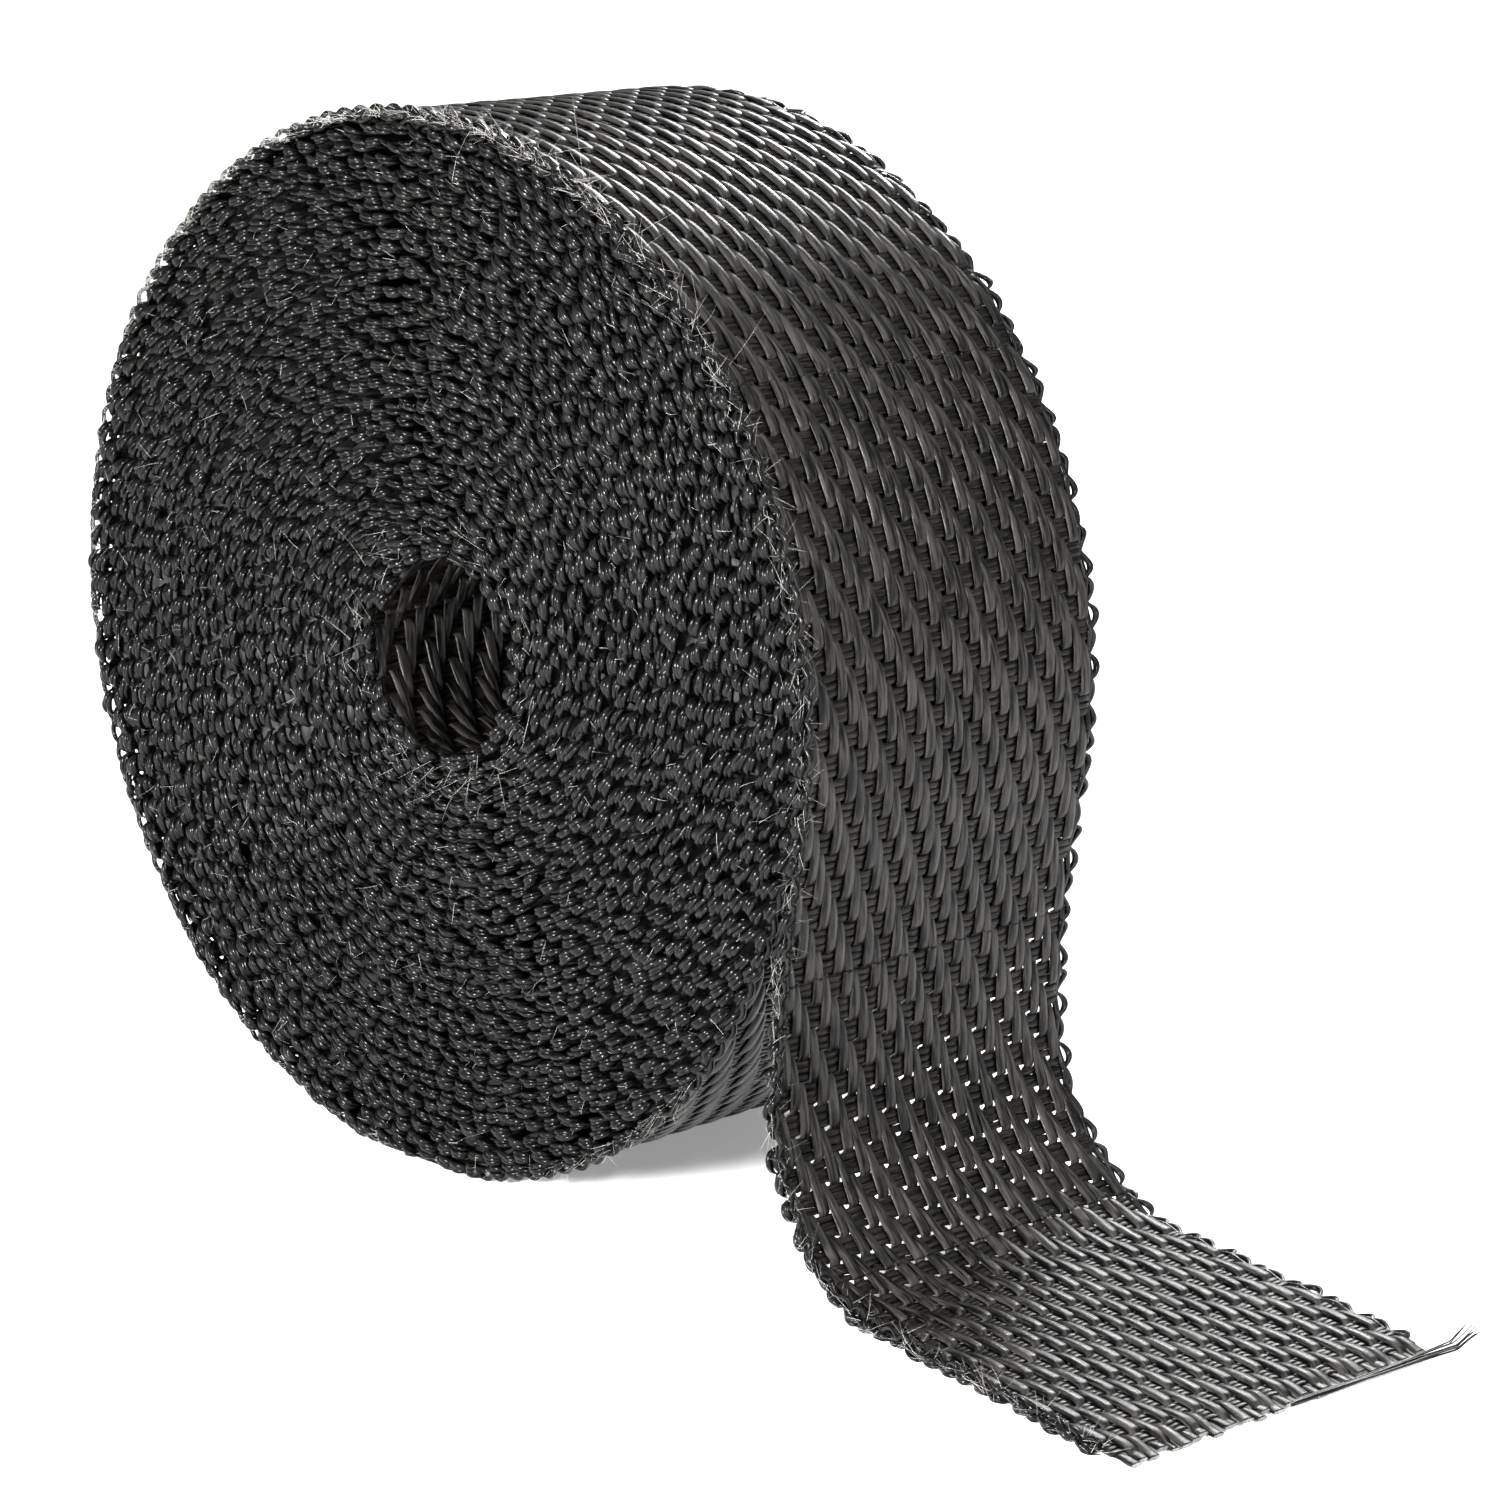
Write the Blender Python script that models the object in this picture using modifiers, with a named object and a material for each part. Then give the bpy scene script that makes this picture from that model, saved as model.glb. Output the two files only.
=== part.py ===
"""A coreless roll of woven heat-wrap tape, standing on its rim, with its loose tail on the floor.

The tape is one strip, wound as a spiral about an axis along Y. It leaves the roll low on the +X
side, drops, turns through its foot and lies flat to its cut end. Metres, +Z up. The origin is on
the floor, straight below the roll's axis and halfway across the tape.
"""

from math import ceil, cos, pi, radians, sin

import bmesh
import bpy
from mathutils import Vector

# Tape
TAPE_WIDTH = 0.050
TAPE_THICKNESS = 0.0012
SELVEDGE_WIDTH = 0.0015
SEAM_GAP = 0.0003
HINGE_GAP = 0.0008

# Roll. The bore sits a little off the middle, so each turn inwards moves its centre by a share.
ROLL_RADIUS = 0.0658
BORE_RADIUS = 0.0115
BORE_OFFSET = Vector((0.0048, 0, 0.0010))
TURN_PITCH = 0.00174
FLOOR_PRESS = 0.0001
FACETS_PER_TURN = 30
FACET_ANGLE = 2 * pi / FACETS_PER_TURN
TAKE_OFF_ANGLE = radians(-12)
PEEL_ANGLE = radians(84)
TURNS = (ROLL_RADIUS - TAPE_THICKNESS - BORE_RADIUS) / TURN_PITCH
BOTTOM_UNWIND = radians(276) - TAKE_OFF_ANGLE
AXIS_HEIGHT = ROLL_RADIUS - TURN_PITCH * BOTTOM_UNWIND / (2 * pi) - FLOOR_PRESS

# The wound part comes as bands of whole turns, counted from the bore outwards.
COIL_BANDS = (
    ("coil_turns_01_08", 0.5, 8),
    ("coil_turns_09_16", 8, 16),
    ("coil_turns_17_24", 16, 24),
)
INNER_END_TURNS = 0.5

# Tail. Its course turns towards -Y through the foot. The weave shears, so its picks turn less.
DROP_LENGTH = 0.0298
FOOT_RADIUS = 0.020
FLAT_LENGTH = 0.042
TIP_HINGE_REACH = 0.014
COURSE_YAW = radians(-12)
PICK_YAW = radians(-3.5)
YAW_START = 0.027
YAW_END = 0.054
FOOT_LENGTH = FOOT_RADIUS * pi / 2
TAIL_LENGTH = DROP_LENGTH + FOOT_LENGTH + FLAT_LENGTH
WALK_STEP = 0.0005

# Cut end
WARP_END_COUNT = 11
WARP_END_LENGTH = 0.0032
WARP_END_WIDTH = 0.0026
WARP_END_THICKNESS = 0.0008
FRINGE_BAR = 0.0010
STRAND_RADIUS = 0.0005
STRAND_INSIDE = 0.016
STRAND_OUTSIDE = 0.0055

COLOURS = {
    "tape_weave": (0.030, 0.030, 0.031, 1.0),
    "selvedge_yarn": (0.042, 0.041, 0.041, 1.0),
    "cut_yarn": (0.026, 0.026, 0.027, 1.0),
}
ROUGHNESS = 0.55


# Scene and materials

def clear_scene():
    for existing in list(bpy.data.objects):
        bpy.data.objects.remove(existing, do_unlink=True)


def make_collection(name):
    collection = bpy.data.collections.new(name)
    bpy.context.scene.collection.children.link(collection)
    return collection


def yarn_material(name, colour):
    material = bpy.data.materials.new(name)
    material.use_nodes = True
    shader = material.node_tree.nodes["Principled BSDF"]
    shader.inputs["Base Color"].default_value = colour
    shader.inputs["Roughness"].default_value = ROUGHNESS
    shader.inputs["Metallic"].default_value = 0.0
    return material


# The tape's course: each station is a point of the tape's outer face and the direction across it

def roll_station(unwind):
    """The outer face after winding inwards by this angle. The facets touch the true spiral."""
    angle = TAKE_OFF_ANGLE + unwind
    turns_in = unwind / (2 * pi)
    radius = (ROLL_RADIUS - TURN_PITCH * turns_in) / cos(FACET_ANGLE / 2)
    centre = Vector((0, 0, AXIS_HEIGHT)) + BORE_OFFSET * turns_in / TURNS
    point = centre + Vector((cos(angle), 0, sin(angle))) * radius
    point.z = max(point.z, 0)
    return point, Vector((0, 1, 0))


def roll_stations(start, end):
    """Stations at every facet's corner between two unwind angles that are corners themselves."""
    count = round((end - start) / FACET_ANGLE)
    return [roll_station(start + FACET_ANGLE * i) for i in range(count + 1)]


def tail_heading(length):
    """The tail's slope, as the angle from straight down towards +X, at this length from the roll."""
    if length < DROP_LENGTH:
        return TAKE_OFF_ANGLE * (1 - length / DROP_LENGTH)
    return min((length - DROP_LENGTH) / FOOT_RADIUS, pi / 2)


def yaw_share(length):
    """How much of its final turn about the vertical the tail has made at this length."""
    share = min(max((length - YAW_START) / (YAW_END - YAW_START), 0), 1)
    return share * share * (3 - 2 * share)


def level_direction(yaw):
    return Vector((cos(yaw), sin(yaw), 0))


def pick_direction(yaw):
    return Vector((-sin(yaw), cos(yaw), 0))


def tail_station(length):
    point = roll_station(0)[0]
    steps = max(1, ceil(length / WALK_STEP))
    step = length / steps
    for i in range(steps):
        middle = step * (i + 0.5)
        heading = tail_heading(middle)
        forward = level_direction(COURSE_YAW * yaw_share(middle))
        point = point + (forward * sin(heading) + Vector((0, 0, -cos(heading)))) * step
    point.z = max(point.z, TAPE_THICKNESS)
    return point, pick_direction(PICK_YAW * yaw_share(length))


def tail_stations(start, end, count):
    return [tail_station(start + (end - start) * i / count) for i in range(count + 1)]


def trimmed(stations, start_trim, end_trim):
    """The same stations with the ends pulled in along the tape."""
    shorter = list(stations)
    first, last = shorter[0], shorter[-1]
    inwards = (shorter[1][0] - first[0]).normalized()
    backwards = (shorter[-2][0] - last[0]).normalized()
    shorter[0] = (first[0] + inwards * start_trim, first[1])
    shorter[-1] = (last[0] + backwards * end_trim, last[1])
    return shorter


# Solids

def hinge_empty(name, pivot, parent, collection):
    empty = bpy.data.objects.new(name, None)
    empty.empty_display_size = 0.01
    collection.objects.link(empty)
    empty.parent = parent
    parent_pivot = parent.matrix_world.translation if parent else Vector()
    empty.location = pivot - parent_pivot
    bpy.context.view_layer.update()
    return empty


def ribbon(name, stations, low, high, outer_side, material, hinge, collection):
    """A band of tape between two offsets across it, thickened inwards from its outer face."""
    origin = hinge.matrix_world.translation if hinge else Vector()
    mesh = bpy.data.meshes.new(name)
    bm = bmesh.new()
    rows = []
    for point, across in stations:
        edges = (point + across * low - origin, point + across * high - origin)
        rows.append([bm.verts.new(edge) for edge in edges])
    for here, following in zip(rows, rows[1:]):
        corners = (here[0], following[0], following[1], here[1])
        bm.faces.new(corners if outer_side > 0 else corners[::-1])
    bm.to_mesh(mesh)
    bm.free()
    mesh.materials.append(material)
    band = bpy.data.objects.new(name, mesh)
    collection.objects.link(band)
    band.parent = hinge
    thicken = band.modifiers.new("thickness", "SOLIDIFY")
    thicken.thickness = TAPE_THICKNESS
    thicken.offset = -1
    thicken.use_even_offset = True
    return band


def tape_stretch(name, stations, outer_side, materials, hinge, collection):
    """The woven middle of a stretch of tape, with its two selvedges as pieces of their own."""
    edge = TAPE_WIDTH / 2
    weave_edge = edge - SELVEDGE_WIDTH - SEAM_GAP
    inner_edge = edge - SELVEDGE_WIDTH
    bands = (
        ("weave", -weave_edge, weave_edge, "tape_weave"),
        ("front_selvedge", -edge, -inner_edge, "selvedge_yarn"),
        ("rear_selvedge", inner_edge, edge, "selvedge_yarn"),
    )
    for band, low, high, look in bands:
        ribbon(f"{name}_{band}", stations, low, high, outer_side, materials[look], hinge, collection)


def make_coil(materials, collection):
    """Every wound turn up to the peel line, from the bore outwards."""
    edge = TAPE_WIDTH / 2
    innermost = 2 * pi * TURNS
    peel = PEEL_ANGLE - TAKE_OFF_ANGLE
    bands = [("coil_inner_end", 0, INNER_END_TURNS)]
    bands += COIL_BANDS
    bands.append(("coil_turns_25_30", COIL_BANDS[-1][2], None))
    for name, first, last in bands:
        start = peel if last is None else whole_facets(innermost - 2 * pi * last)
        end = whole_facets(innermost - 2 * pi * first)
        trim = HINGE_GAP / 2 if last is None else SEAM_GAP / 2
        stations = trimmed(roll_stations(start, end), trim, SEAM_GAP / 2)
        ribbon(name, stations, -edge, edge, -1, materials["tape_weave"], None, collection)


def whole_facets(unwind):
    """The nearest facet corner to this unwind angle."""
    return FACET_ANGLE * round(unwind / FACET_ANGLE)


def make_tail(materials, collection):
    """The four stretches that move, each on its hinge, from the peel line to the cut end."""
    half_gap = HINGE_GAP / 2
    peel = PEEL_ANGLE - TAKE_OFF_ANGLE
    foot_end = DROP_LENGTH + FOOT_LENGTH
    tip_start = foot_end + TIP_HINGE_REACH
    runs = (
        ("outer_wrap", roll_stations(0, peel), -1, peel_pivot()),
        ("tail_drop", tail_stations(0, DROP_LENGTH, 6), 1, pivot_of(roll_station(0)[0])),
        ("tail_foot", foot_stations(foot_end, tip_start), 1, tail_pivot(DROP_LENGTH)),
        ("tail_tip", tail_stations(tip_start, TAIL_LENGTH, 2), 1, tail_pivot(tip_start)),
    )
    hinge = None
    for name, stations, outer_side, pivot in runs:
        hinge = hinge_empty(f"{name}_hinge", pivot, hinge, collection)
        shorter = trimmed(stations, half_gap, half_gap)
        tape_stretch(name, shorter, outer_side, materials, hinge, collection)
    return hinge


def foot_stations(foot_end, tip_start):
    return tail_stations(DROP_LENGTH, foot_end, 9) + tail_stations(foot_end, tip_start, 1)[1:]


def pivot_of(point):
    """The middle of the tape's thickness on the roll, below this point of its outer face."""
    towards_axis = (Vector((0, 0, AXIS_HEIGHT)) - point).normalized()
    return point + towards_axis * TAPE_THICKNESS / 2


def peel_pivot():
    return pivot_of(roll_station(PEEL_ANGLE - TAKE_OFF_ANGLE)[0])


def tail_pivot(length):
    """The middle of the tape's thickness on the tail."""
    heading = tail_heading(length)
    outwards = level_direction(COURSE_YAW * yaw_share(length)) * cos(heading)
    outwards.z = sin(heading)
    return tail_station(length)[0] - outwards * TAPE_THICKNESS / 2


# Cut end

def past_cut(along, across):
    """A point beyond the end of the weave, along the tape's course and across it."""
    end = tail_station(TAIL_LENGTH)[0]
    return end + level_direction(COURSE_YAW) * along + pick_direction(PICK_YAW) * across


def fringe_outline():
    """The warp ends as a comb: fingers along the tape's course from a bar across it."""
    inside = TAPE_WIDTH / 2 - SELVEDGE_WIDTH - SEAM_GAP
    pitch = 2 * inside / WARP_END_COUNT
    points = [(0, inside), (0, -inside)]
    for i in range(WARP_END_COUNT):
        middle = -inside + pitch * (i + 0.5)
        low, high = middle - WARP_END_WIDTH / 2, middle + WARP_END_WIDTH / 2
        tip = FRINGE_BAR + WARP_END_LENGTH
        points += [(FRINGE_BAR, low), (tip, low), (tip, high), (FRINGE_BAR, high)]
    points.insert(2, (FRINGE_BAR, -inside))
    points.append((FRINGE_BAR, inside))
    return points


def make_fringe(materials, hinge, collection):
    curve = bpy.data.curves.new("cut_warp_ends", "CURVE")
    curve.dimensions = "2D"
    curve.fill_mode = "BOTH"
    curve.extrude = WARP_END_THICKNESS / 2
    outline = fringe_outline()
    pivot = hinge.matrix_world.translation
    spline = curve.splines.new("POLY")
    spline.points.add(len(outline) - 1)
    for point, (along, across) in zip(spline.points, outline):
        place = past_cut(SEAM_GAP + along, across)
        point.co = (place.x - pivot.x, place.y - pivot.y, 0, 1)
    spline.use_cyclic_u = True
    curve.materials.append(materials["cut_yarn"])
    fringe = bpy.data.objects.new("cut_warp_ends", curve)
    collection.objects.link(fringe)
    fringe.parent = hinge
    fringe.location.z = WARP_END_THICKNESS / 2 - pivot.z


def make_loose_strand(materials, hinge, collection):
    """A weft strand pulled loose past the warp ends, running out beyond the rear corner."""
    past_fringe = SEAM_GAP * 2 + FRINGE_BAR + WARP_END_LENGTH + STRAND_RADIUS
    edge = TAPE_WIDTH / 2
    route = (
        (past_fringe + 0.0002, edge - STRAND_INSIDE, STRAND_RADIUS),
        (past_fringe + 0.0006, edge - STRAND_INSIDE / 2, STRAND_RADIUS),
        (past_fringe + 0.0003, edge, STRAND_RADIUS + 0.0002),
        (past_fringe + 0.0010, edge + STRAND_OUTSIDE / 2, STRAND_RADIUS + 0.0006),
        (past_fringe + 0.0022, edge + STRAND_OUTSIDE, STRAND_RADIUS + 0.0008),
    )
    curve = bpy.data.curves.new("loose_weft_strand", "CURVE")
    curve.dimensions = "3D"
    curve.bevel_depth = STRAND_RADIUS
    curve.bevel_resolution = 2
    curve.use_fill_caps = True
    spline = curve.splines.new("POLY")
    spline.points.add(len(route) - 1)
    for point, (along, across, height) in zip(spline.points, route):
        place = past_cut(along, across)
        place.z = height
        point.co = (*(place - hinge.matrix_world.translation), 1)
    curve.materials.append(materials["cut_yarn"])
    strand = bpy.data.objects.new("loose_weft_strand", curve)
    collection.objects.link(strand)
    strand.parent = hinge


def main():
    clear_scene()
    collection = make_collection("heat_wrap_tape_roll")
    materials = {name: yarn_material(name, colour) for name, colour in COLOURS.items()}
    make_coil(materials, collection)
    tip_hinge = make_tail(materials, collection)
    make_fringe(materials, tip_hinge, collection)
    make_loose_strand(materials, tip_hinge, collection)


main()
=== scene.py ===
"""The looks of a coreless roll of woven heat-wrap tape, built yarn by yarn around its CAD frame.

The tape is a 2/1 twill: flat warp yarns run along it, and each pick of weft lies across it as three
flat strands. A knitted selvedge of plump stitches closes the front edge, and turned weft loops
close the rear one. Everything is placed by its length along the tape from the cut end, its place
across the tape and its height from the middle of the tape's thickness. Metres, +Z up, in the
frame's own axes.
"""

from math import cos, pi, radians, sin

import bpy
import numpy as np
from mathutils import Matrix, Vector


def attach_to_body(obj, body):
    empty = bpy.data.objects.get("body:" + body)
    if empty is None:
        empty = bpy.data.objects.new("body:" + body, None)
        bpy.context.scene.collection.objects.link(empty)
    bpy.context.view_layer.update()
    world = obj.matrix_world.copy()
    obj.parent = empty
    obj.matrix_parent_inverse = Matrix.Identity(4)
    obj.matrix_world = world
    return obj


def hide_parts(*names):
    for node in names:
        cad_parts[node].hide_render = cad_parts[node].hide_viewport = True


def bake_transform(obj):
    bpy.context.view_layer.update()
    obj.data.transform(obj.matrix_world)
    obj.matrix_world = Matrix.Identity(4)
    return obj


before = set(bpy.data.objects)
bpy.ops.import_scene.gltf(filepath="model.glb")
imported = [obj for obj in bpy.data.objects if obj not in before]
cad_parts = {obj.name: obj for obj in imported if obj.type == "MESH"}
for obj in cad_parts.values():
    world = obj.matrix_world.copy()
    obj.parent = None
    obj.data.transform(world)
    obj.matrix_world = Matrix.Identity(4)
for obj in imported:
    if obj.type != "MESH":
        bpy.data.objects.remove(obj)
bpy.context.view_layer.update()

# Tape and roll, as in the CAD part
TAPE_THICKNESS = 0.0012
ROLL_RADIUS = 0.0658
BORE_RADIUS = 0.0115
BORE_OFFSET = np.array([0.0048, 0, 0.0010])
TURN_PITCH = 0.00174
FLOOR_PRESS = 0.0001
TAKE_OFF_ANGLE = radians(-12)
PEEL_ANGLE = radians(84)
TURNS = (ROLL_RADIUS - TAPE_THICKNESS - BORE_RADIUS) / TURN_PITCH
BOTTOM_UNWIND = radians(276) - TAKE_OFF_ANGLE
AXIS_HEIGHT = ROLL_RADIUS - TURN_PITCH * BOTTOM_UNWIND / (2 * pi) - FLOOR_PRESS
DROP_LENGTH = 0.0298
FOOT_RADIUS = 0.020
FLAT_LENGTH = 0.042
TIP_HINGE_REACH = 0.014
COURSE_YAW = radians(-12)
PICK_YAW = radians(-3.5)
YAW_START = 0.027
YAW_END = 0.054
FOOT_LENGTH = FOOT_RADIUS * pi / 2
TAIL_LENGTH = DROP_LENGTH + FOOT_LENGTH + FLAT_LENGTH

# How finely the course is worked out, and how far it runs on straight past the cut end
COURSE_STEP = 0.0004
TURN_STEPS = 720
RUN_ON = 0.02

MM = 0.001
FLOOR_CLEARANCE = 0.00004

# Weave
WARP_COUNT = 30
WARP_PITCH = 0.00158
PICK_PITCH = 0.00307
RINGS_PER_PICK = 9
WARP_HEIGHT = 0.00033
WARP_HALF_THICKNESS = 0.00018
WEFT_STRANDS = (-1, 0, 1)
WEFT_SPACING = 0.00085
WEFT_HALF_WIDTH = 0.00050
WEFT_HALF_THICKNESS = 0.00016
WEFT_OVER = 0.00014
WEFT_UNDER = -0.00012
WEFT_REACH = 0.0240
BORE_WEFT_RISE = 0.00016
BORE_WEFT_SHARE = 0.3

# A yarn's section: 1 is an ellipse, and less is squarer
SQUARENESS = 0.72

# A warp yarn over one repeat of three picks. At 0 and 3 it passes under a pick. Heights are shares
# of WARP_HEIGHT; half-widths and side shifts are in mm.
REPEAT = (0, 0.28, 0.40, 0.50, 0.72, 1.0, 1.5, 2.0, 2.3, 2.55, 2.8, 3)
HEIGHTS = (-1, -1, -0.8, 0.75, 1.05, 1.12, 1.15, 1.0, 0.62, -0.05, -0.85, -1)
HALF_WIDTHS = (0.68, 0.74, 0.79, 0.83, 0.84, 0.83, 0.78, 0.69, 0.60, 0.54, 0.56, 0.68)
SIDE_SHIFTS = (-0.05, 0.0, 0.02, 0.04, 0.06, 0.06, 0.0, -0.12, -0.20, -0.24, -0.20, -0.05)

# Selvedges
EDGE_RING = 0.00040
EDGE_START = 0.0003
FRONT_EDGE = -0.02435
STITCH_RINGS = 9
STITCH_SLOPE = 0.26
STITCH_REACH = 0.00150
STITCH_BULGE = 0.00100
STITCH_SINK = 0.00060
STRAND_SPACING = 0.00039
STRAND_RADIUS = 0.00037
BORE_STITCH_SIZE = 1.3
EDGE_LOOP_RISE = 0.00092
EDGE_LOOP_RADIUS = 0.00035
REAR_EDGE = 0.02395
REAR_LOOP_BULGE = 0.00125
REAR_LOOP_SWAY = 0.00022

# The plain band that stands for the inside of the wound turns
BAND_STEP = 0.0012
BAND_HALF_WIDTH = 0.0232
BAND_HALF_THICKNESS = 0.00042

# Where the woven stretches end: by unwind angle on the roll, and back from the bore
STILL_START = radians(120)
SECOND_TURN = radians(330)
WEAVE_END = radians(470)
BORE_WEAVE_TURNS = 1.15
BORE_END_GAP = 0.001

# Cut end
WARP_END_LENGTH = 0.0040
WARP_END_FALL = 0.003
WARP_END_GATHER = 0.00022
LOOSE_STRANDS = 9
LOOSE_RINGS = 50
LOOSE_ROUTE = (
    (0.0036, 0.0010, 0.00042), (0.0040, 0.0080, 0.00045), (0.0041, 0.0150, 0.00042),
    (0.0043, 0.0215, 0.00050), (0.0052, 0.0265, 0.00090), (0.0050, 0.0300, 0.00200),
)

# Stray fibres
FIBRE_RADIUS = 0.000014
FIBRE_RINGS = 6


# The tape's course

def make_course():
    """Rows of length from the cut end, outer-face point and direction across, cut end to bore."""
    steps = int(round(TAIL_LENGTH / COURSE_STEP))
    step = TAIL_LENGTH / steps
    point = roll_points(np.zeros(1))[0]
    points = [point]
    for i in range(steps):
        middle = step * (i + 0.5)
        heading = tail_heading(middle)
        yaw = COURSE_YAW * yaw_share(middle)
        forward = np.array([cos(yaw) * sin(heading), sin(yaw) * sin(heading), -cos(heading)])
        point = point + forward * step
        points.append(point)
    tail = np.array(points)[::-1]
    rise = TAPE_THICKNESS - tail[0, 2]
    tail[:, 2] += rise * np.linspace(1, 0, len(tail)) ** 0.5
    tail[:, 2] = np.maximum(tail[:, 2], TAPE_THICKNESS)
    yaws = np.array([PICK_YAW * yaw_share(step * (steps - i)) for i in range(steps + 1)])
    tail_across = np.stack([-np.sin(yaws), np.cos(yaws), np.zeros_like(yaws)], axis=1)
    unwind = np.arange(1, int(TURNS * TURN_STEPS) + 1) * (2 * pi / TURN_STEPS)
    roll = roll_points(unwind)
    roll_across = np.tile([0.0, 1.0, 0.0], (len(roll), 1))
    past_end = tail[0] + (tail[0] - tail[1]) / step * RUN_ON
    rows = np.concatenate([past_end[None], tail, roll])
    across = np.concatenate([tail_across[:1], tail_across, roll_across])
    lengths = np.concatenate([[0], np.cumsum(np.linalg.norm(np.diff(rows, axis=0), axis=1))])
    lengths -= lengths[1]
    return lengths, rows, across


def roll_points(unwind):
    """Points of the outer face on the roll, pressed flat where it stands on the floor."""
    angle = TAKE_OFF_ANGLE + unwind
    turns_in = unwind / (2 * pi)
    radius = ROLL_RADIUS - TURN_PITCH * turns_in
    centre = np.array([0, 0, AXIS_HEIGHT]) + BORE_OFFSET * (turns_in / TURNS)[:, None]
    points = centre + np.stack([np.cos(angle), 0 * angle, np.sin(angle)], axis=1) * radius[:, None]
    points[:, 2] = np.maximum(points[:, 2], 0)
    return points


def tail_heading(length):
    """The tail's turn away from straight down, this far from where it leaves the roll."""
    if length < DROP_LENGTH:
        return TAKE_OFF_ANGLE * (1 - length / DROP_LENGTH)
    return min((length - DROP_LENGTH) / FOOT_RADIUS, pi / 2)


def yaw_share(length):
    """How much of its sideways turn the tail has made, this far from the roll."""
    share = min(max((length - YAW_START) / (YAW_END - YAW_START), 0), 1)
    return share * share * (3 - 2 * share)


LENGTHS, POINTS, ACROSS = make_course()
ALONG = np.gradient(POINTS, LENGTHS, axis=0)
ALONG /= np.linalg.norm(ALONG, axis=1)[:, None]
OUT = np.cross(ACROSS, ALONG)
OUT /= np.linalg.norm(OUT, axis=1)[:, None]
COURSE_END = LENGTHS[-1]


def course(lengths):
    """The outer-face point, and the directions across, outwards and inwards along the tape."""
    found = []
    for table in (POINTS, ACROSS, OUT, ALONG):
        columns = [np.interp(lengths, LENGTHS, table[:, axis]) for axis in range(3)]
        found.append(np.stack(columns, axis=-1))
    return found


def at_unwind(unwind):
    """The length along the tape at this unwind angle on the roll."""
    row = 1 + int(round(TAIL_LENGTH / COURSE_STEP)) + unwind / (2 * pi) * TURN_STEPS
    return float(np.interp(row, np.arange(len(LENGTHS)), LENGTHS))


def at_seam(length):
    """The nearest place midway between two picks."""
    return (round(length / PICK_PITCH - 0.5) + 0.5) * PICK_PITCH


class Drift:
    """Smooth random wander along the tape, the same for every piece that reads it."""

    def __init__(self, seed, spacing, rows):
        self.spacing = spacing
        knots = int(COURSE_END / spacing) + 16
        self.knots = np.random.default_rng(seed).uniform(-1, 1, (rows, knots))

    def at(self, lengths, rows):
        place = lengths / self.spacing + 8
        base = np.floor(place).astype(int)
        share = place - base
        share = share * share * (3 - 2 * share)
        low, high = self.knots[rows, base], self.knots[rows, base + 1]
        return low * (1 - share) + high * share


warp_drift = Drift(11, 0.011, WARP_COUNT)
warp_width_drift = Drift(12, 0.006, WARP_COUNT)
warp_height_drift = Drift(13, 0.005, WARP_COUNT)
loop_drift = Drift(14, PICK_PITCH, 8)
edge_drift = Drift(15, 0.014, 4)

# The rows of those last two that the selvedges read
FRONT_LOOP_ROW = 6
REAR_EDGE_ROW = 2
FRONT_EDGE_ROW = 3


# Meshes of yarns

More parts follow.
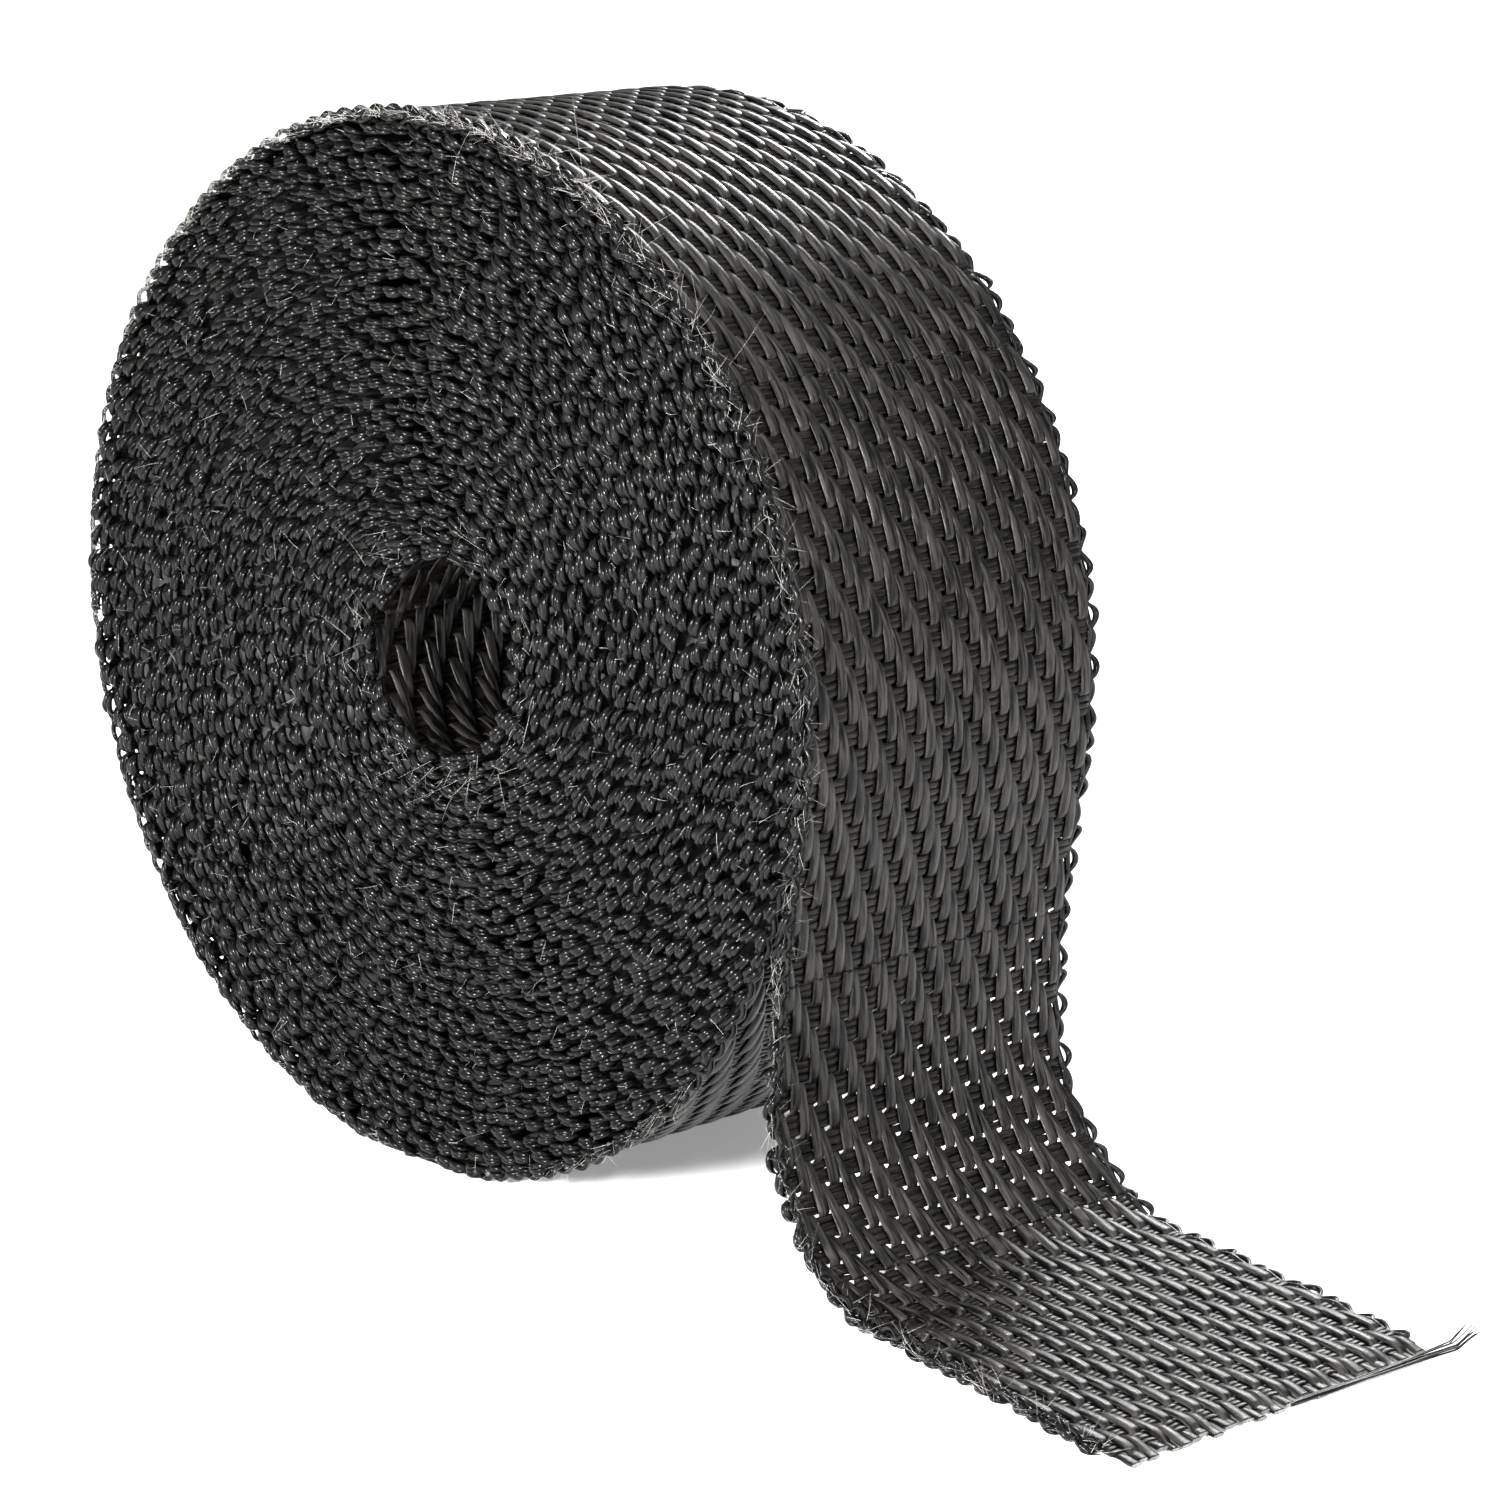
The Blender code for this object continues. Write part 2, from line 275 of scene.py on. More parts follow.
class Yarns:
    """Gathers tubes, each a row of rings, and makes one mesh of them."""

    def __init__(self):
        self.points = []
        self.marks = []
        self.loops = []
        self.sizes = []
        self.looks = []
        self.smooth = []
        self.count = 0

    def add(self, centre, side, up, half_width, half_height, along, ids, sides=8, end_look=0):
        """Tubes of shape (tubes, rings). Marks hold (across mm, along mm, tube's own number)."""
        tubes, rings = centre.shape[:2]
        turn = np.arange(sides) * 2 * pi / sides
        travel = centre[0, rings // 2] - centre[0, rings // 2 - 1]
        if np.dot(np.cross(side[0, rings // 2], up[0, rings // 2]), travel) < 0:
            turn = -turn
        x = half_width[..., None] * np.sign(np.cos(turn)) * np.abs(np.cos(turn)) ** SQUARENESS
        y = half_height[..., None] * np.sign(np.sin(turn)) * np.abs(np.sin(turn)) ** SQUARENESS
        verts = centre[:, :, None] + side[:, :, None] * x[..., None] + up[:, :, None] * y[..., None]
        marks = np.empty((tubes, rings, sides, 3))
        marks[..., 0] = x / MM
        marks[..., 1] = along[..., None] / MM
        marks[..., 2] = ids[:, None, None]
        index = self.count + np.arange(tubes * rings * sides).reshape(tubes, rings, sides)
        after = np.roll(index, -1, axis=2)
        quads = np.stack([index[:, :-1], after[:, :-1], after[:, 1:], index[:, 1:]], axis=-1)
        self.points.append(verts.reshape(-1, 3))
        self.marks.append(marks.reshape(-1, 3))
        self.extend(quads.reshape(-1, 4), 0, True)
        self.extend(index[:, 0, ::-1], end_look, False)
        self.extend(index[:, -1], 0, False)
        self.count += tubes * rings * sides

    def extend(self, faces, look, smooth):
        self.loops.append(faces.reshape(-1))
        self.sizes.append(np.full(len(faces), faces.shape[1]))
        self.looks.append(np.full(len(faces), look))
        self.smooth.append(np.full(len(faces), smooth))

    def build(self, name, materials):
        points = np.concatenate(self.points).astype(np.float32)
        points[:, 2] = np.maximum(points[:, 2], FLOOR_CLEARANCE)
        loops = np.concatenate(self.loops).astype(np.int32)
        sizes = np.concatenate(self.sizes)
        looks = np.concatenate(self.looks).astype(np.int32)
        starts = np.concatenate([[0], np.cumsum(sizes)[:-1]]).astype(np.int32)
        mesh = bpy.data.meshes.new(name)
        mesh.vertices.add(len(points))
        mesh.vertices.foreach_set("co", points.ravel())
        mesh.loops.add(len(loops))
        mesh.loops.foreach_set("vertex_index", loops)
        mesh.polygons.add(len(starts))
        mesh.polygons.foreach_set("loop_start", starts)
        mesh.update(calc_edges=True)
        mesh.polygons.foreach_set("material_index", looks)
        mesh.polygons.foreach_set("use_smooth", np.concatenate(self.smooth))
        marks = mesh.attributes.new("yarn", "FLOAT_VECTOR", "POINT")
        marks.data.foreach_set("vector", np.concatenate(self.marks).astype(np.float32).ravel())
        for material in materials:
            mesh.materials.append(material)
        mesh.update()
        piece = bpy.data.objects.new(name, mesh)
        bpy.context.scene.collection.objects.link(piece)
        return piece


def tilted(heights, lengths, out, along):
    """The direction out of the tape, leaned back so that rings stay square to a rising yarn."""
    slope = np.gradient(heights, axis=1) / np.gradient(lengths, axis=1)
    lean = np.arctan(slope)[..., None]
    return out * np.cos(lean) - along * np.sin(lean)


def warp_place(warp):
    return (warp - (WARP_COUNT - 1) / 2) * WARP_PITCH


def over_repeat(phase, values):
    return np.interp(phase, REPEAT, values)


def picks_between(start, end):
    """The numbers of the picks between two lengths."""
    return np.arange(int(np.ceil(start / PICK_PITCH)), int(np.floor(end / PICK_PITCH)) + 1)


def placed(point, across, out, offset, height):
    """Points this far across the tape and this far out from the middle of its thickness."""
    return point + across * offset[..., None] + out * (height - TAPE_THICKNESS / 2)[..., None]


def warp_yarns(yarns, start, end, free_lengths=None, facing=1):
    """Every warp yarn between two lengths. free_lengths are how far they run past the cut end."""
    rings = int(round((end - start) / PICK_PITCH * RINGS_PER_PICK)) + 1
    warp = np.arange(WARP_COUNT)[:, None]
    share = np.linspace(0, 1, rings)[None]
    if free_lengths is None:
        lengths = start + (end - start) * share + 0 * warp
    else:
        starts = -free_lengths[:, None]
        lengths = starts + (end - starts) * share
    phase = (lengths / PICK_PITCH + warp) % 3
    height = over_repeat(phase, HEIGHTS) * WARP_HEIGHT * facing
    height = height * (1 + 0.12 * warp_height_drift.at(lengths, warp))
    half_width = over_repeat(phase, HALF_WIDTHS) * MM
    half_width = half_width * (1 + 0.10 * warp_width_drift.at(lengths, warp))
    shift = over_repeat(phase, SIDE_SHIFTS) * MM + 0.09 * MM * warp_drift.at(lengths, warp)
    half_thick = WARP_HALF_THICKNESS * (1.1 - 0.15 * np.cos(phase * 2 * pi / 3))
    if free_lengths is not None:
        past = np.clip(-lengths / WARP_END_FALL, 0, 1)
        gather = np.where(warp % 3 == 0, 1, np.where(warp % 3 == 2, -1, 0)) * WARP_END_GATHER
        lying = half_thick - TAPE_THICKNESS / 2 + 0.06 * MM + WARP_END_GATHER * (warp % 2)
        height = height * (1 - past) + lying * past
        shift = shift + gather * past
        half_width = half_width * (1 + 0.12 * past)
    point, across, out, along = course(lengths)
    up = tilted(height, lengths, out, along)
    centre = placed(point, across, out, warp_place(warp) + shift, height)
    ids = np.arange(WARP_COUNT) * 7.31
    look = 1 if free_lengths is not None else 0
    yarns.add(centre, across, up, half_width, half_thick, lengths, ids, end_look=look)


def weft_strands(yarns, start, end, seed, facing=1):
    """The three flat strands of each pick between two lengths."""
    rng = np.random.default_rng(seed)
    picks = picks_between(start, end)
    count = len(picks)
    warp = np.arange(WARP_COUNT)
    knots = np.concatenate([[-WEFT_REACH], warp_place(warp), [WEFT_REACH]])
    places = np.linspace(-WEFT_REACH, WEFT_REACH, 2 * WARP_COUNT + 3)
    over = np.where((picks[:, None] + warp[None]) % 3 == 0, WEFT_OVER, WEFT_UNDER)
    over = np.concatenate([np.zeros((count, 1)), over, np.zeros((count, 1))], axis=1)
    wave = np.stack([np.interp(places, knots, row) for row in over])
    if facing < 0:
        wave = BORE_WEFT_SHARE * wave + BORE_WEFT_RISE
    for strand in WEFT_STRANDS:
        heights = wave + rng.normal(0, 0.03, wave.shape) * MM
        slant = rng.normal(0, 0.05, (count, 1)) * MM * np.linspace(-1, 1, len(places))
        wobble = rng.normal(0, 0.03, wave.shape) * MM
        lengths = picks[:, None] * PICK_PITCH + strand * WEFT_SPACING + slant + wobble
        point, across, out, along = course(lengths)
        centre = placed(point, across, out, places[None], heights)
        half_width = WEFT_HALF_WIDTH * (1 + rng.normal(0, 0.08, wave.shape))
        half_thick = np.full_like(half_width, WEFT_HALF_THICKNESS)
        travel = np.tile(places, (count, 1))
        ids = picks * 3.7 + strand * 1.9
        yarns.add(centre, along, -out, half_width, half_thick, travel, ids, sides=6)


def front_stitches(yarns, start, end, size=1.0):
    """The knitted front selvedge: a plump stitch of three strands at each pick."""
    picks = picks_between(start, end)
    rng = np.random.default_rng(int(start * 1e5) + 900)
    count = len(picks)
    share = np.linspace(-1, 1, STITCH_RINGS)[None]
    slope = rng.normal(STITCH_SLOPE, 0.13, (count, 1))
    shift = rng.normal(0, 0.16, (count, 1)) * MM
    middle = picks[:, None] * PICK_PITCH + rng.normal(0, 0.28, (count, 1)) * MM
    stand = rng.normal(0, 0.20, (count, 1)) * MM
    grain = size * (1 + rng.normal(0, 0.10, (count, 1)))
    swell = np.clip(1 - share ** 2, 0, 1) ** 0.5
    for strand in (-1, 0, 1):
        reach = STITCH_REACH * (1 + rng.normal(0, 0.10, (count, 1)))
        lengths = middle + reach * share + rng.normal(0, 0.25, (count, 1)) * MM
        height = shift + strand * STRAND_SPACING * grain * (0.6 + 0.4 * swell)
        height = height + slope * reach * share + rng.normal(0, 0.05, (count, 1)) * MM
        offset = FRONT_EDGE + STITCH_SINK - STITCH_BULGE * swell
        offset = offset + stand + rng.normal(0, 0.10, (count, 1)) * MM
        point, across, out, along = course(lengths)
        centre = placed(point, across, out, offset, height)
        radius = STRAND_RADIUS * grain * (0.35 + 0.65 * swell)
        side = out - along * slope[..., None]
        side = side / np.linalg.norm(side, axis=-1, keepdims=True)
        ids = picks * 2.3 + strand * 5.1
        yarns.add(centre, side, across, radius, radius * 1.1, lengths, ids, sides=7)


def edge_lengths(start, end):
    """Where a looped edge has its rings."""
    return np.linspace(start, end, int(round((end - start) / EDGE_RING)) + 1)


def front_loops(yarns, start, end):
    """The outward loops of the front selvedge, one at each pick, which show on the loose turns."""
    lengths = edge_lengths(start, end)[None]
    turn = (lengths / PICK_PITCH) % 1
    bulge = np.sin(turn * pi) ** 0.8 * (1 + 0.35 * loop_drift.at(lengths, FRONT_LOOP_ROW))
    height = 0.25 * MM + EDGE_LOOP_RISE * bulge
    offset = FRONT_EDGE + 0.1 * MM * edge_drift.at(lengths, FRONT_EDGE_ROW)
    point, across, out, along = course(lengths)
    centre = placed(point, across, out, offset, height)
    radius = EDGE_LOOP_RADIUS * (1.25 - 0.35 * bulge)
    yarns.add(centre, across, out, radius, radius, lengths, np.array([77.0]), sides=7)


def rear_loops(yarns, start, end):
    """The rear selvedge: the weft turns outside the last warp yarn and bulges every second pick."""
    lengths = np.tile(edge_lengths(start, end), (2, 1))
    strand = np.arange(2)[:, None]
    turn = (lengths / (2 * PICK_PITCH) + 0.5 * strand) % 1
    bulge = np.clip(np.sin(turn * 2 * pi), 0, 1) ** 0.7
    height = REAR_LOOP_SWAY * (1 - 2 * strand) * np.cos(turn * 2 * pi)
    reach = REAR_LOOP_BULGE * (0.9 + 0.6 * loop_drift.at(lengths, strand))
    offset = REAR_EDGE + bulge * reach + 0.15 * MM * edge_drift.at(lengths, REAR_EDGE_ROW)
    point, across, out, along = course(lengths)
    centre = placed(point, across, out, offset, height)
    half_width = (0.38 + 0.04 * bulge) * MM
    half_height = np.full_like(half_width, 0.34 * MM)
    yarns.add(centre, across, out, half_width, half_height, lengths, 20 + np.arange(2) * 3.3)


def strip(name, start, end, material):
    """The wound middle of the tape between two lengths, as one closed band."""
    lengths = np.linspace(start, end, int((end - start) / BAND_STEP))[None]
    point, across, out, along = course(lengths)
    centre = point - out * TAPE_THICKNESS / 2
    half_width = np.full_like(lengths, BAND_HALF_WIDTH)
    half_thick = np.full_like(lengths, BAND_HALF_THICKNESS)
    yarns = Yarns()
    yarns.add(centre, across, out, half_width, half_thick, lengths, np.zeros(1))
    return yarns.build(name, [material])


def stray_fibres(yarns, rng, lengths, edge, reach):
    """Fine broken fibres that stand off the front edge. Each starts at one of these lengths."""
    count = len(lengths)
    point, across, out, along = (v[:, None] for v in course(lengths))
    lift = rng.normal(0, 1, (count, 1, 1))
    run = rng.normal(0, 1, (count, 1, 1))
    cross = rng.normal(-0.2, 0.9, (count, 1, 1))
    aim = out * np.abs(lift) * 0.6 + along * run + across * cross
    aim /= np.linalg.norm(aim, axis=-1, keepdims=True)
    curl = rng.normal(0, 1, (count, 1, 3))
    share = np.linspace(0, 1, FIBRE_RINGS)[None, :, None]
    length = rng.uniform(0.3, 1.0, (count, 1, 1)) ** 1.6 * reach
    base = point + across * (edge + rng.normal(0, 0.5, (count, 1, 1)) * MM)
    base = base - out * rng.uniform(0, 0.9, (count, 1, 1)) * MM
    centre = base + aim * length * share + curl * length * 0.12 * share ** 2
    centre[..., 2] = np.maximum(centre[..., 2], 0.06 * MM)
    side = np.cross(aim, out + 0.01)
    side /= np.linalg.norm(side, axis=-1, keepdims=True)
    up = np.cross(aim, side)
    radius = FIBRE_RADIUS * (1.1 - 0.75 * share[..., 0]) * rng.uniform(0.6, 1.2, (count, 1))
    blank = np.zeros_like(centre)
    yarns.add(centre, side + blank, up + blank, radius, radius, length[..., 0] * share[..., 0],
              rng.uniform(0, 50, count), sides=3)


# Materials

BLACK = (0.0005, 0.0005, 0.0004)


def stretched_noise(nodes, links, marks, scale, detail, roughness=0.5):
    """Noise in a yarn's own space: scale is across it, along it and from yarn to yarn."""
    mapping = nodes.new("ShaderNodeMapping")
    mapping.inputs["Scale"].default_value = scale
    links.new(marks.outputs["Vector"], mapping.inputs["Vector"])
    noise = nodes.new("ShaderNodeTexNoise")
    noise.inputs["Scale"].default_value = 1.0
    noise.inputs["Detail"].default_value = detail
    noise.inputs["Roughness"].default_value = roughness
    links.new(mapping.outputs["Vector"], noise.inputs["Vector"])
    return noise.outputs["Fac"]


def yarn_material(name, light, roughness, dark=BLACK, streaks=2.6, bump=1.0, specular=0.3):
    """Bundled filaments: fine streaks along the yarn in colour, gloss and relief. The colour
    streaks are partly the yarn's own uneven tone and partly painted sheen: bright lines in the base
    colour that stand in for the filaments' highlights.
    """
    material = bpy.data.materials.new(name)
    material.use_nodes = True
    nodes, links = material.node_tree.nodes, material.node_tree.links
    shader = nodes["Principled BSDF"]
    shader.inputs["IOR"].default_value = 1.5
    shader.inputs["Specular IOR Level"].default_value = specular
    marks = nodes.new("ShaderNodeAttribute")
    marks.attribute_name = "yarn"
    filaments = stretched_noise(nodes, links, marks, (streaks, 0.22, 1.0), 4.0, 0.7)
    patches = stretched_noise(nodes, links, marks, (0.5, 0.12, 1.7), 2.0)

    share = nodes.new("ShaderNodeMath")
    share.operation = "MULTIPLY"
    share.inputs[1].default_value = 0.75
    links.new(filaments, share.inputs[0])
    mix = nodes.new("ShaderNodeMath")
    mix.operation = "MULTIPLY_ADD"
    mix.inputs[1].default_value = 0.25
    links.new(patches, mix.inputs[0])
    links.new(share.outputs["Value"], mix.inputs[2])
    # Painted sheen: the sharp ramp lifts the base colour from dark to light in narrow streaks along
    # the yarn, partly the yarn's uneven tone and partly the filaments' highlights painted in
    ramp = nodes.new("ShaderNodeValToRGB")
    for element, position, colour in zip(ramp.color_ramp.elements, (0.45, 0.58), (dark, light)):
        element.position = position
        element.color = (*colour, 1)
    links.new(mix.outputs["Value"], ramp.inputs["Fac"])
    links.new(ramp.outputs["Color"], shader.inputs["Base Color"])

    gloss = nodes.new("ShaderNodeMapRange")
    gloss.inputs["From Min"].default_value = 0.3
    gloss.inputs["From Max"].default_value = 0.7
    gloss.inputs["To Min"].default_value = roughness + 0.10
    gloss.inputs["To Max"].default_value = roughness - 0.08
    links.new(filaments, gloss.inputs["Value"])
    links.new(gloss.outputs["Result"], shader.inputs["Roughness"])
    relief = nodes.new("ShaderNodeBump")
    relief.inputs["Strength"].default_value = bump
    relief.inputs["Distance"].default_value = 0.06 * MM
    links.new(filaments, relief.inputs["Height"])
    links.new(relief.outputs["Normal"], shader.inputs["Normal"])
    return material


# For the warp and weft, the light colour is the top of their streaks: partly painted sheen, partly
# the yarn's own tone
warp_look = yarn_material("warp_yarn", (0.028, 0.026, 0.024), 0.32, specular=0.13)
weft_look = yarn_material("weft_yarn", (0.012, 0.0104, 0.0088), 0.32, specular=0.12)
cord_look = yarn_material("selvedge_cord", (0.006, 0.0057, 0.0054), 0.22,
                          dark=(0.0004, 0.0004, 0.0004), specular=0.12)
loop_look = yarn_material("selvedge_loop", (0.012, 0.0112, 0.0106), 0.24,
                          dark=(0.0004, 0.0004, 0.0004), specular=0.15)
cut_look = yarn_material("cut_faces", (0.34, 0.33, 0.31), 0.6, dark=(0.10, 0.10, 0.095),
                         streaks=25)
fibre_look = yarn_material("stray_fibre", (0.75, 0.73, 0.70), 0.45, dark=(0.35, 0.34, 0.32),
                           bump=0.0)
inner_look = yarn_material("wound_tape", (0.012, 0.011, 0.010), 0.6, dark=(0.003, 0.003, 0.003))


# Stretches of the tape

tip_hinge = FLAT_LENGTH - TIP_HINGE_REACH
foot_hinge = TAIL_LENGTH - DROP_LENGTH
swing_hinge = TAIL_LENGTH
peel_hinge = at_unwind(PEEL_ANGLE - TAKE_OFF_ANGLE)
foot_seam = at_seam((tip_hinge + foot_hinge) / 2)
drop_seam = at_seam((foot_hinge + swing_hinge) / 2)
wrap_seam = at_seam((swing_hinge + peel_hinge) / 2)
still_seam = at_seam(at_unwind(STILL_START))
second_seam = at_seam(at_unwind(SECOND_TURN))
weave_seam = at_seam(at_unwind(WEAVE_END))
bore_seam = at_seam(at_unwind(2 * pi * (TURNS - BORE_WEAVE_TURNS)))


def attach(piece, bodies):
    """Rides the piece on its one body; a piece between two bodies is baked in place and not bent.
    """
    if len(bodies) == 1:
        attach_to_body(piece, bodies[0])
        return
    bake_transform(piece)


def woven_stretch(name, start, end, bodies, nodes, free_lengths=None,
                  facing=1, stitch_size=1.0):
    """One stretch of woven tape as warp, weft and both selvedges, on the body or bodies given."""
    warp = Yarns()
    warp_yarns(warp, start, end, free_lengths, facing)
    weft = Yarns()
    weft_strands(weft, start, end, seed=int(start * 1e5) + 5000, facing=facing)
    edge_start = max(start, EDGE_START)
    front = Yarns()
    front_stitches(front, edge_start, end, stitch_size)
    if facing > 0:
        front_loops(front, edge_start, end)
    rear = Yarns()
    rear_loops(rear, edge_start, end)
    pieces = {
        "warp": warp.build(f"{name}_warp", [warp_look, cut_look]),
        "weft": weft.build(f"{name}_weft", [weft_look]),
        "front": front.build(f"{name}_front_cord", [cord_look]),
        "rear": rear.build(f"{name}_rear_loops", [loop_look]),
    }
    for part, piece in pieces.items():
        attach(piece, bodies)
    for part, replaced in nodes.items():
        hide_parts(*replaced)


def tail_nodes(name, more=()):
    """The CAD nodes that this stretch's pieces stand for."""
    return {
        "warp": [f"{name}_weave", *more],
        "front": [f"{name}_front_selvedge"],
        "rear": [f"{name}_rear_selvedge"],
    }


rng = np.random.default_rng(21)
free_ends = WARP_END_LENGTH + rng.uniform(-0.0009, 0.0003, WARP_COUNT)

woven_stretch("tail_tip", 0, foot_seam, ("tail_foot", "tail_tip"),
              tail_nodes("tail_tip", ["cut_warp_ends"]), free_ends)
woven_stretch("tail_foot", foot_seam, drop_seam, ("tail_drop", "tail_foot"),
              tail_nodes("tail_foot"))
woven_stretch("tail_drop", drop_seam, wrap_seam, ("outer_wrap", "tail_drop"),
              tail_nodes("tail_drop"))
woven_stretch("outer_wrap", wrap_seam, still_seam, ("coil", "outer_wrap"),
              tail_nodes("outer_wrap"))
woven_stretch("outer_turn", still_seam, second_seam, ("coil",),
              {"warp": ["coil_turns_25_30"]})
woven_stretch("second_turn", second_seam, weave_seam, ("coil",), {})
woven_stretch("bore_turn", bore_seam, at_seam(COURSE_END - BORE_END_GAP), ("coil",),
              {"warp": ["coil_inner_end"]}, facing=-1,
              stitch_size=BORE_STITCH_SIZE)


# The wound turns between the bore turn and the woven outer ones

def wound_turns(name, start, end, replaced):
    """A plain band with both selvedges, for turns of which only the edges can be seen."""
    middle = strip(f"coil_strip_{name}", start, end, inner_look)
    front = Yarns()
    front_stitches(front, start, end)
    front = front.build(f"coil_front_cord_{name}", [cord_look])
    rear = Yarns()
    rear_loops(rear, start, end)
    rear = rear.build(f"coil_rear_loops_{name}", [loop_look])
    for piece in (middle, front, rear):
        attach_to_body(piece, "coil")
    if replaced:
        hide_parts(*replaced)


inner = bore_seam
for name, last_turn in (("01_08", 8), ("09_16", 16), ("17_24", 24)):
    outer = at_unwind(2 * pi * (TURNS - last_turn))
    wound_turns(name, outer, inner, [f"coil_turns_{name}"])
    inner = outer
wound_turns("25_30", weave_seam, inner, [])


# The loose weft strand past the cut end

def loose_strand():
    """Frayed filaments along a route of (past the end, across, height) from the cut end."""
    end_point, end_across, _, end_along = (v[0] for v in course(np.array([0.0])))
    stops = np.array(LOOSE_ROUTE)
    ticks = np.linspace(0, len(stops) - 1, LOOSE_RINGS)
    route = np.stack([np.interp(ticks, np.arange(len(stops)), stops[:, i]) for i in range(3)],
                     axis=1)
    middle = end_point - end_along * route[:, :1] + end_across * route[:, 1:2]
    middle[:, 2] = route[:, 2]
    side = np.tile(end_along, (1, LOOSE_RINGS, 1))
    up = np.tile([0.0, 0.0, 1.0], (1, LOOSE_RINGS, 1))
    radius = np.linspace(0.18, 0.05, LOOSE_RINGS)[None] * MM
    spread = (ticks / ticks[-1])[:, None] ** 2
    rng = np.random.default_rng(44)
    strands = Yarns()
    for number in range(LOOSE_STRANDS):
        drift = rng.normal(0, 1, 2) * (0.12 + 0.75 * spread) * MM
        phase = rng.uniform(0, 2 * pi)
        sway = np.sin(ticks * 2.1 + phase)[:, None] * 0.10 * MM
        centre = middle + end_along * (drift[:, :1] + sway)
        centre[:, 2] += drift[:, 1] * 0.6
        strands.add(centre[None], side, up, radius * 1.3, radius, (ticks * 0.003)[None],
                    np.array([number * 4.0]), sides=5)
    return strands.build("loose_weft_strand", [weft_look])


loose = loose_strand()
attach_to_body(loose, "tail_tip")
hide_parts("loose_weft_strand")


# Stray fibres

def fibre_piece(name, groups, bodies, seed):
    """Fibres in groups of (start, end, how many, place across the tape, reach)."""
    rng = np.random.default_rng(seed)
    yarns = Yarns()
    for start, end, count, edge, reach in groups:
        lengths = rng.uniform(start, end, count)
        stray_fibres(yarns, rng, lengths, edge, reach)
    piece = yarns.build(name, [fibre_look])
    attach(piece, bodies)


proud_edge = FRONT_EDGE + 0.5 * MM
sunk_edge = FRONT_EDGE - 0.8 * MM
upper_wrap = at_unwind(radians(80))
upper_turn = at_unwind(radians(155))
left_turn = at_unwind(radians(200))
bore_turns = at_unwind(2 * pi * (TURNS - 3))
fibre_piece("tail_tip_fibres", [(0, foot_seam, 260, FRONT_EDGE, 0.004)],
            ("tail_foot", "tail_tip"), 31)
fibre_piece("tail_foot_fibres", [(foot_seam, drop_seam, 160, FRONT_EDGE, 0.004)],
            ("tail_drop", "tail_foot"), 32)
fibre_piece("tail_drop_fibres", [(drop_seam, wrap_seam, 260, FRONT_EDGE, 0.004)],
            ("outer_wrap", "tail_drop"), 33)
fibre_piece("outer_wrap_fibres",
            [(wrap_seam, still_seam, 420, FRONT_EDGE, 0.005),
             (wrap_seam, still_seam, 60, proud_edge, 0.010),
             (upper_wrap, still_seam, 500, FRONT_EDGE, 0.003)],
            ("coil", "outer_wrap"), 34)
fibre_piece("coil_fibres",
            [(still_seam, left_turn, 800, FRONT_EDGE, 0.005),
             (left_turn, second_seam, 500, FRONT_EDGE, 0.004),
             (weave_seam, bore_turns, 700, sunk_edge, 0.003),
             (still_seam, upper_turn, 900, FRONT_EDGE, 0.003),
             (still_seam, left_turn, 60, proud_edge, 0.009),
             (bore_turns, COURSE_END, 160, sunk_edge, 0.005)],
            ("coil",), 35)


# Stage

FLOOR_SIZE = 6.0
ROLL_MIDDLE = (0.02, 0, 0.06)
LOWER_FACE = (0.0, -0.025, 0.035)


def make_floor():
    mesh = bpy.data.meshes.new("floor")
    size = FLOOR_SIZE
    mesh.from_pydata([(-size, -size, 0), (size, -size, 0), (size, size, 0), (-size, size, 0)],
                     [], [(0, 1, 2, 3)])
    floor = bpy.data.objects.new("floor", mesh)
    bpy.context.scene.collection.objects.link(floor)
    material = bpy.data.materials.new("white_floor")
    material.use_nodes = True
    shader = material.node_tree.nodes["Principled BSDF"]
    shader.inputs["Base Color"].default_value = (0.93, 0.93, 0.93, 1)
    shader.inputs["Roughness"].default_value = 0.7
    shader.inputs["Specular IOR Level"].default_value = 0.2
    shader.inputs["Emission Color"].default_value = (1, 1, 1, 1)
    shader.inputs["Emission Strength"].default_value = 0.28
    mesh.materials.append(material)


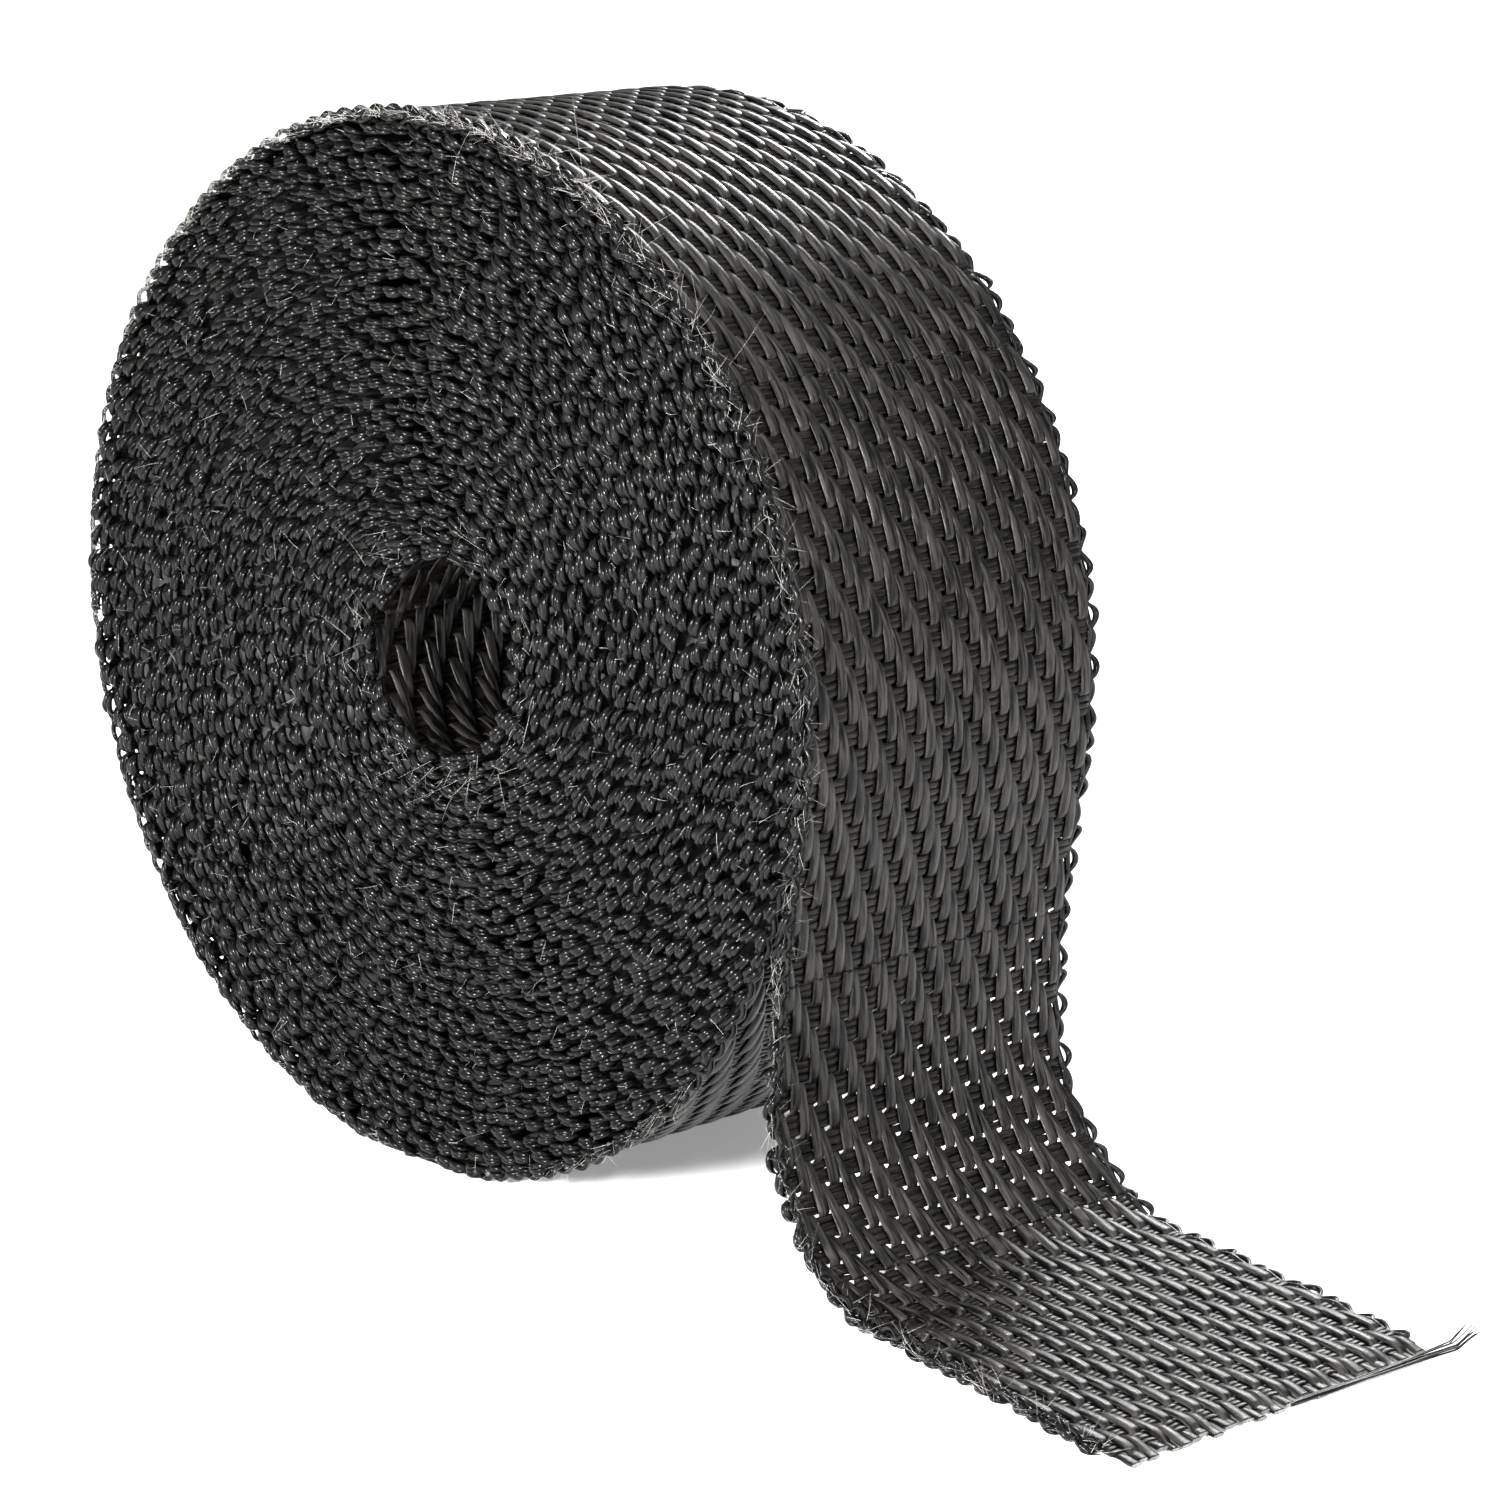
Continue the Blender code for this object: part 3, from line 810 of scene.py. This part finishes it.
def shine(name, light, place, direction):
    """Puts a light there, shining this way."""
    holder = bpy.data.objects.new(name, light)
    bpy.context.scene.collection.objects.link(holder)
    holder.location = place
    holder.rotation_euler = Vector(direction).to_track_quat("-Z", "Y").to_euler()


def soft_box(name, place, size, power, target):
    light = bpy.data.lights.new(name, "AREA")
    light.shape = "RECTANGLE"
    light.size, light.size_y = size
    light.energy = power
    shine(name, light, place, Vector(target) - Vector(place))


def overhead_light():
    light = bpy.data.lights.new("overhead_light", "SUN")
    light.energy = 2.7
    light.angle = radians(50)
    shine("overhead_light", light, (0, 0, 0), (-0.25, -0.15, -1.0))


def studio_world():
    world = bpy.data.worlds.new("studio")
    world.use_nodes = True
    background = world.node_tree.nodes["Background"]
    background.inputs["Color"].default_value = (1, 1, 1, 1)
    background.inputs["Strength"].default_value = 0.5
    bpy.context.scene.world = world


make_floor()
soft_box("right_box", (0.9, -0.15, 0.55), (0.16, 0.22), 9, ROLL_MIDDLE)
soft_box("front_box", (0.10, -0.50, 0.16), (0.09, 0.06), 10, LOWER_FACE)
soft_box("back_box", (-0.45, 0.85, 0.45), (0.3, 0.3), 8, ROLL_MIDDLE)
overhead_light()
studio_world()
bpy.context.scene.view_settings.view_transform = "Standard"


# Camera

AZIMUTH = radians(45.155)
ELEVATION = radians(13.658)
CAMERA_DISTANCE = 0.520
CAMERA_TARGET = Vector((0.032377, 0, AXIS_HEIGHT - 0.010422))
LENS_MM = 103.9
SENSOR_MM = 36.0
NEAREST_SEEN = 0.01


def make_camera():
    data = bpy.data.cameras.new("camera")
    data.sensor_width = SENSOR_MM
    data.lens = LENS_MM
    data.clip_start = NEAREST_SEEN
    camera = bpy.data.objects.new("camera", data)
    bpy.context.scene.collection.objects.link(camera)
    back = Vector((sin(AZIMUTH) * cos(ELEVATION), -cos(AZIMUTH) * cos(ELEVATION),
                   sin(ELEVATION)))
    camera.location = CAMERA_TARGET + back * CAMERA_DISTANCE
    camera.rotation_mode = "QUATERNION"
    camera.rotation_quaternion = (-back).to_track_quat("-Z", "Y")
    bpy.context.scene.camera = camera


make_camera()
